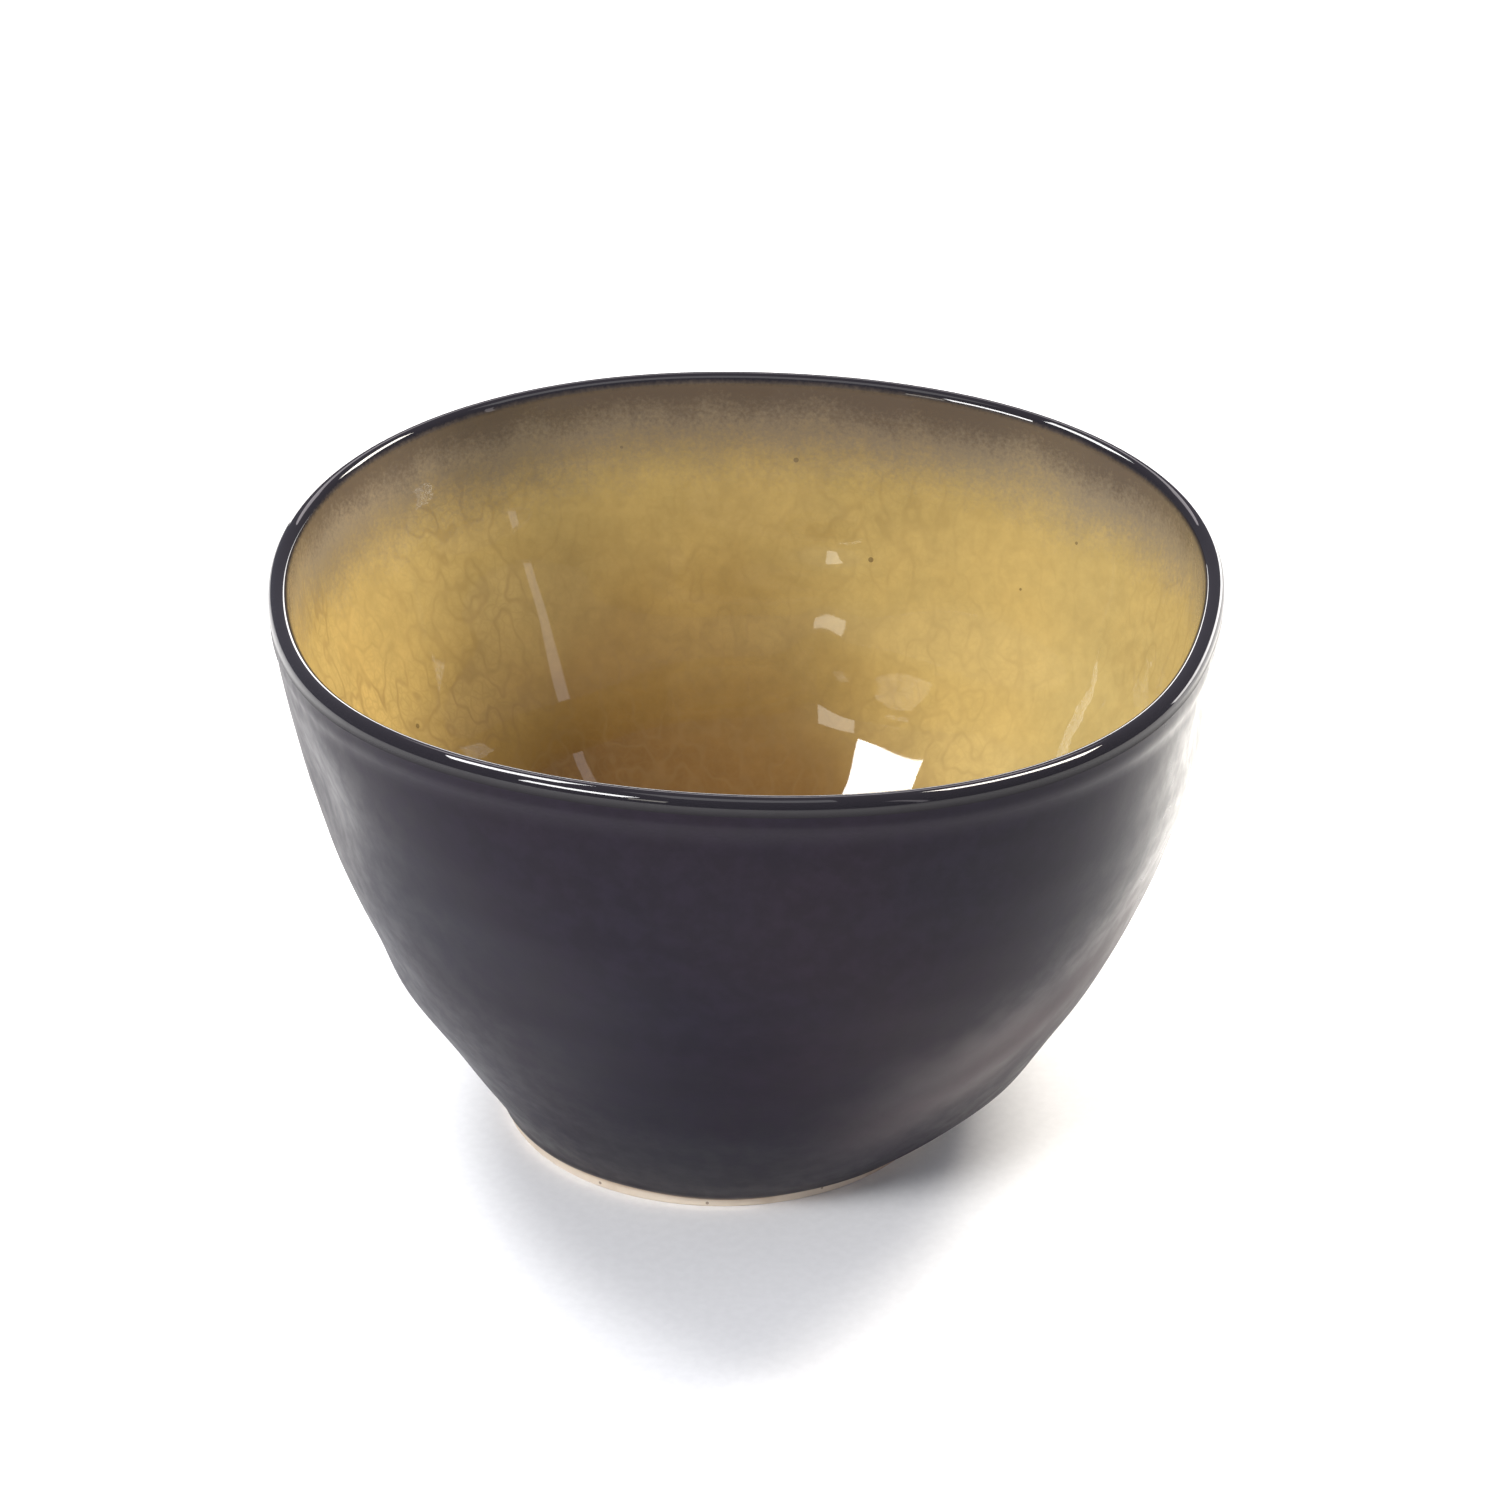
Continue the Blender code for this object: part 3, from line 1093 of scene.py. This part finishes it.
@dataclass(frozen=True)
class BareClay:
    """The bare cream clay of the foot ring and the underside."""

    effects: Effects
    cream: tuple = colour(0.720, 0.620, 0.500)
    toasted: tuple = colour(0.400, 0.270, 0.170)
    grog: tuple = colour(0.170, 0.110, 0.075)
    roughness: float = 0.78
    burnt_edge: Border = Border(start=1.05, end=1.75, wander=0.5, grain=0.3)

    def material(self) -> bpy.types.Material:
        """Make the clay.

        Returns:
            The material.
        """
        canvas = Canvas("bare_clay", self.effects, Roughness=self.roughness, IOR=1.45)
        mottle = canvas.use(self.effects.mottle, Scale=60.0, Contrast=2.2)
        cloud, fine = mottle.outputs["Cloud"], mottle.outputs["Fine"]
        tone = canvas.mix(canvas.ramp(cloud, 0.45, 0.95, 0.0, 0.55), self.cream, self.toasted)
        burnt = canvas.past(self.burnt_edge, canvas.times(canvas.z, MILLIMETRES))
        tone = canvas.paint(tone, burnt, self.toasted, 0.6)
        dots = canvas.use(self.effects.specks, Scale=900.0, Size=0.22, Share=0.10)
        tone = canvas.paint(tone, dots.outputs["Mask"], self.grog, 0.7)
        canvas.feed("Base Color", tone)
        canvas.feed("Roughness", canvas.ramp(fine, 0.3, 0.7, self.roughness - 0.08,
                                             self.roughness + 0.10))
        pores = canvas.times(canvas.noise(canvas.place, 2200.0, 2.0), 0.6)
        canvas.emboss(canvas.math("ADD", fine, pores), strength=0.5, distance=0.00015)
        return canvas.material


@dataclass(frozen=True)
class Softbox:
    """One soft light, aimed at the bowl from a direction."""

    name: str
    azimuth: float
    elevation: float
    distance: float
    width: float
    depth: float
    radiance: float
    tint: tuple = (1.0, 1.0, 1.0)
    target: tuple = (0.0, 0.0, 0.045)

    def build(self) -> bpy.types.Object:
        """Hang the light.

        Returns:
            The light's object.
        """
        lamp = bpy.data.lights.new(self.name, "AREA")
        lamp.shape = "RECTANGLE"
        lamp.size = self.width
        lamp.size_y = self.depth
        lamp.energy = self.radiance * math.pi * self.width * self.depth
        lamp.color = self.tint
        light = in_scene(self.name, lamp)
        level = math.cos(math.radians(self.elevation)) * self.distance
        turn = math.radians(self.azimuth)
        away = Vector((level * math.cos(turn), level * math.sin(turn),
                       math.sin(math.radians(self.elevation)) * self.distance))
        light.location = Vector(self.target) + away
        light.rotation_euler = away.to_track_quat("Z", "Y").to_euler()
        light.visible_camera = False
        return light


@dataclass
class Studio:
    """The white table, the soft lights and the camera."""

    floor_half: float = 1.2
    surround: tuple = colour(0.22, 0.225, 0.27)
    camera_place: tuple = (0.00068, -0.6154, 0.3860)
    camera_tilt: float = 62.0
    camera_lens: float = 116.2
    lights: list[Softbox] = field(default_factory=lambda: [
        Softbox("key_back_left", azimuth=150.0, elevation=63.0, distance=1.2, width=0.40,
                depth=0.40, radiance=25.0),
        Softbox("tall_right", azimuth=31.0, elevation=54.0, distance=1.2, width=0.30,
                depth=0.50, radiance=33.0, tint=(1.0, 0.94, 0.84)),
        Softbox("low_behind", azimuth=72.0, elevation=4.0, distance=1.4, width=2.40,
                depth=0.28, radiance=6.5, tint=(1.0, 0.97, 0.95)),
        Softbox("backdrop", azimuth=90.0, elevation=39.0, distance=1.6, width=0.80,
                depth=0.28, radiance=3.2, tint=(1.0, 0.93, 0.96)),
        Softbox("overhead", azimuth=-80.0, elevation=80.0, distance=1.2, width=0.50,
                depth=0.50, radiance=1.5),
        Softbox("window_front_left", azimuth=-128.2, elevation=37.6, distance=1.2,
                width=0.50, depth=0.27, radiance=28.0),
        Softbox("window_gap", azimuth=-108.6, elevation=24.0, distance=1.2,
                width=0.157, depth=0.217, radiance=4.5, tint=(1.0, 0.96, 0.86)),
        Softbox("slit_front_right", azimuth=-52.0, elevation=24.0, distance=1.2,
                width=0.06, depth=0.80, radiance=1.8, tint=(1.0, 0.93, 0.98)),
        Softbox("glow_on_the_table", azimuth=0.0, elevation=90.0, distance=0.030,
                width=0.10, depth=0.12, radiance=3.6, tint=(1.0, 0.95, 0.84),
                target=(0.130, 0.092, 0.0)),
    ])

    def build_floor(self) -> bpy.types.Object:
        """Lay the table.

        Returns:
            The floor's object.
        """
        half = self.floor_half
        data = bpy.data.meshes.new("table")
        corners = [(-half, -half, 0.0), (half, -half, 0.0), (half, half, 0.0), (-half, half, 0.0)]
        data.from_pydata(corners, [], [(0, 1, 2, 3)])
        paper = bpy.data.materials.new("white_table")
        paper.use_nodes = True
        tree = Tree(paper.node_tree)
        shader = paper.node_tree.nodes["Principled BSDF"]
        shader.inputs["Roughness"].default_value = 0.85
        place = tree.node("ShaderNodeTexCoord").outputs["Object"]
        tone = tree.ramp(tree.noise(place, 700.0, 2.0, 0.6), 0.3, 0.7)
        tree.plug(shader.inputs["Base Color"],
                  tree.mix(tone, colour(0.885, 0.890, 0.900), colour(0.915, 0.920, 0.930)))
        data.materials.append(paper)
        return in_scene("table", data)

    def build_world(self) -> None:
        """Surround the table with dim even light, in front of a white backdrop."""
        world = bpy.data.worlds.new("surround")
        world.use_nodes = True
        tree = Tree(world.node_tree)
        shade = world.node_tree.nodes["Background"]
        seen = tree.node("ShaderNodeLightPath").outputs["Is Camera Ray"]
        tree.plug(shade.inputs["Color"], tree.mix(seen, self.surround, colour(1.0, 1.0, 1.0)))
        bpy.context.scene.world = world
        bpy.context.scene.view_settings.view_transform = "Standard"

    def build_camera(self) -> bpy.types.Object:
        """Set the camera.

        Returns:
            The camera's object.
        """
        data = bpy.data.cameras.new("camera")
        data.lens = self.camera_lens
        data.sensor_width = 36.0
        data.sensor_fit = "HORIZONTAL"
        camera = in_scene("camera", data)
        camera.location = self.camera_place
        camera.rotation_euler = (math.radians(self.camera_tilt), 0.0, 0.0)
        bpy.context.scene.camera = camera
        return camera


def main() -> None:
    """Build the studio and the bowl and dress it."""
    logging.basicConfig(level=logging.INFO, format="%(message)s")
    studio = Studio()
    studio.build_camera()
    studio.build_world()
    studio.build_floor()
    for light in studio.lights:
        light.build()
    LOG.info("studio: camera, table and %d lights", len(studio.lights))

    bowl = Bowl().build()
    effects = Effects()
    for finish in (SatinGlaze(effects), CrackleGlaze(effects), BareClay(effects)):
        bowl.data.materials.append(finish.material())
    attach(bowl, "root")
    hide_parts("bowl")
    LOG.info("bowl: %d faces", len(bowl.data.polygons))


if __name__ == "__main__":
    main()
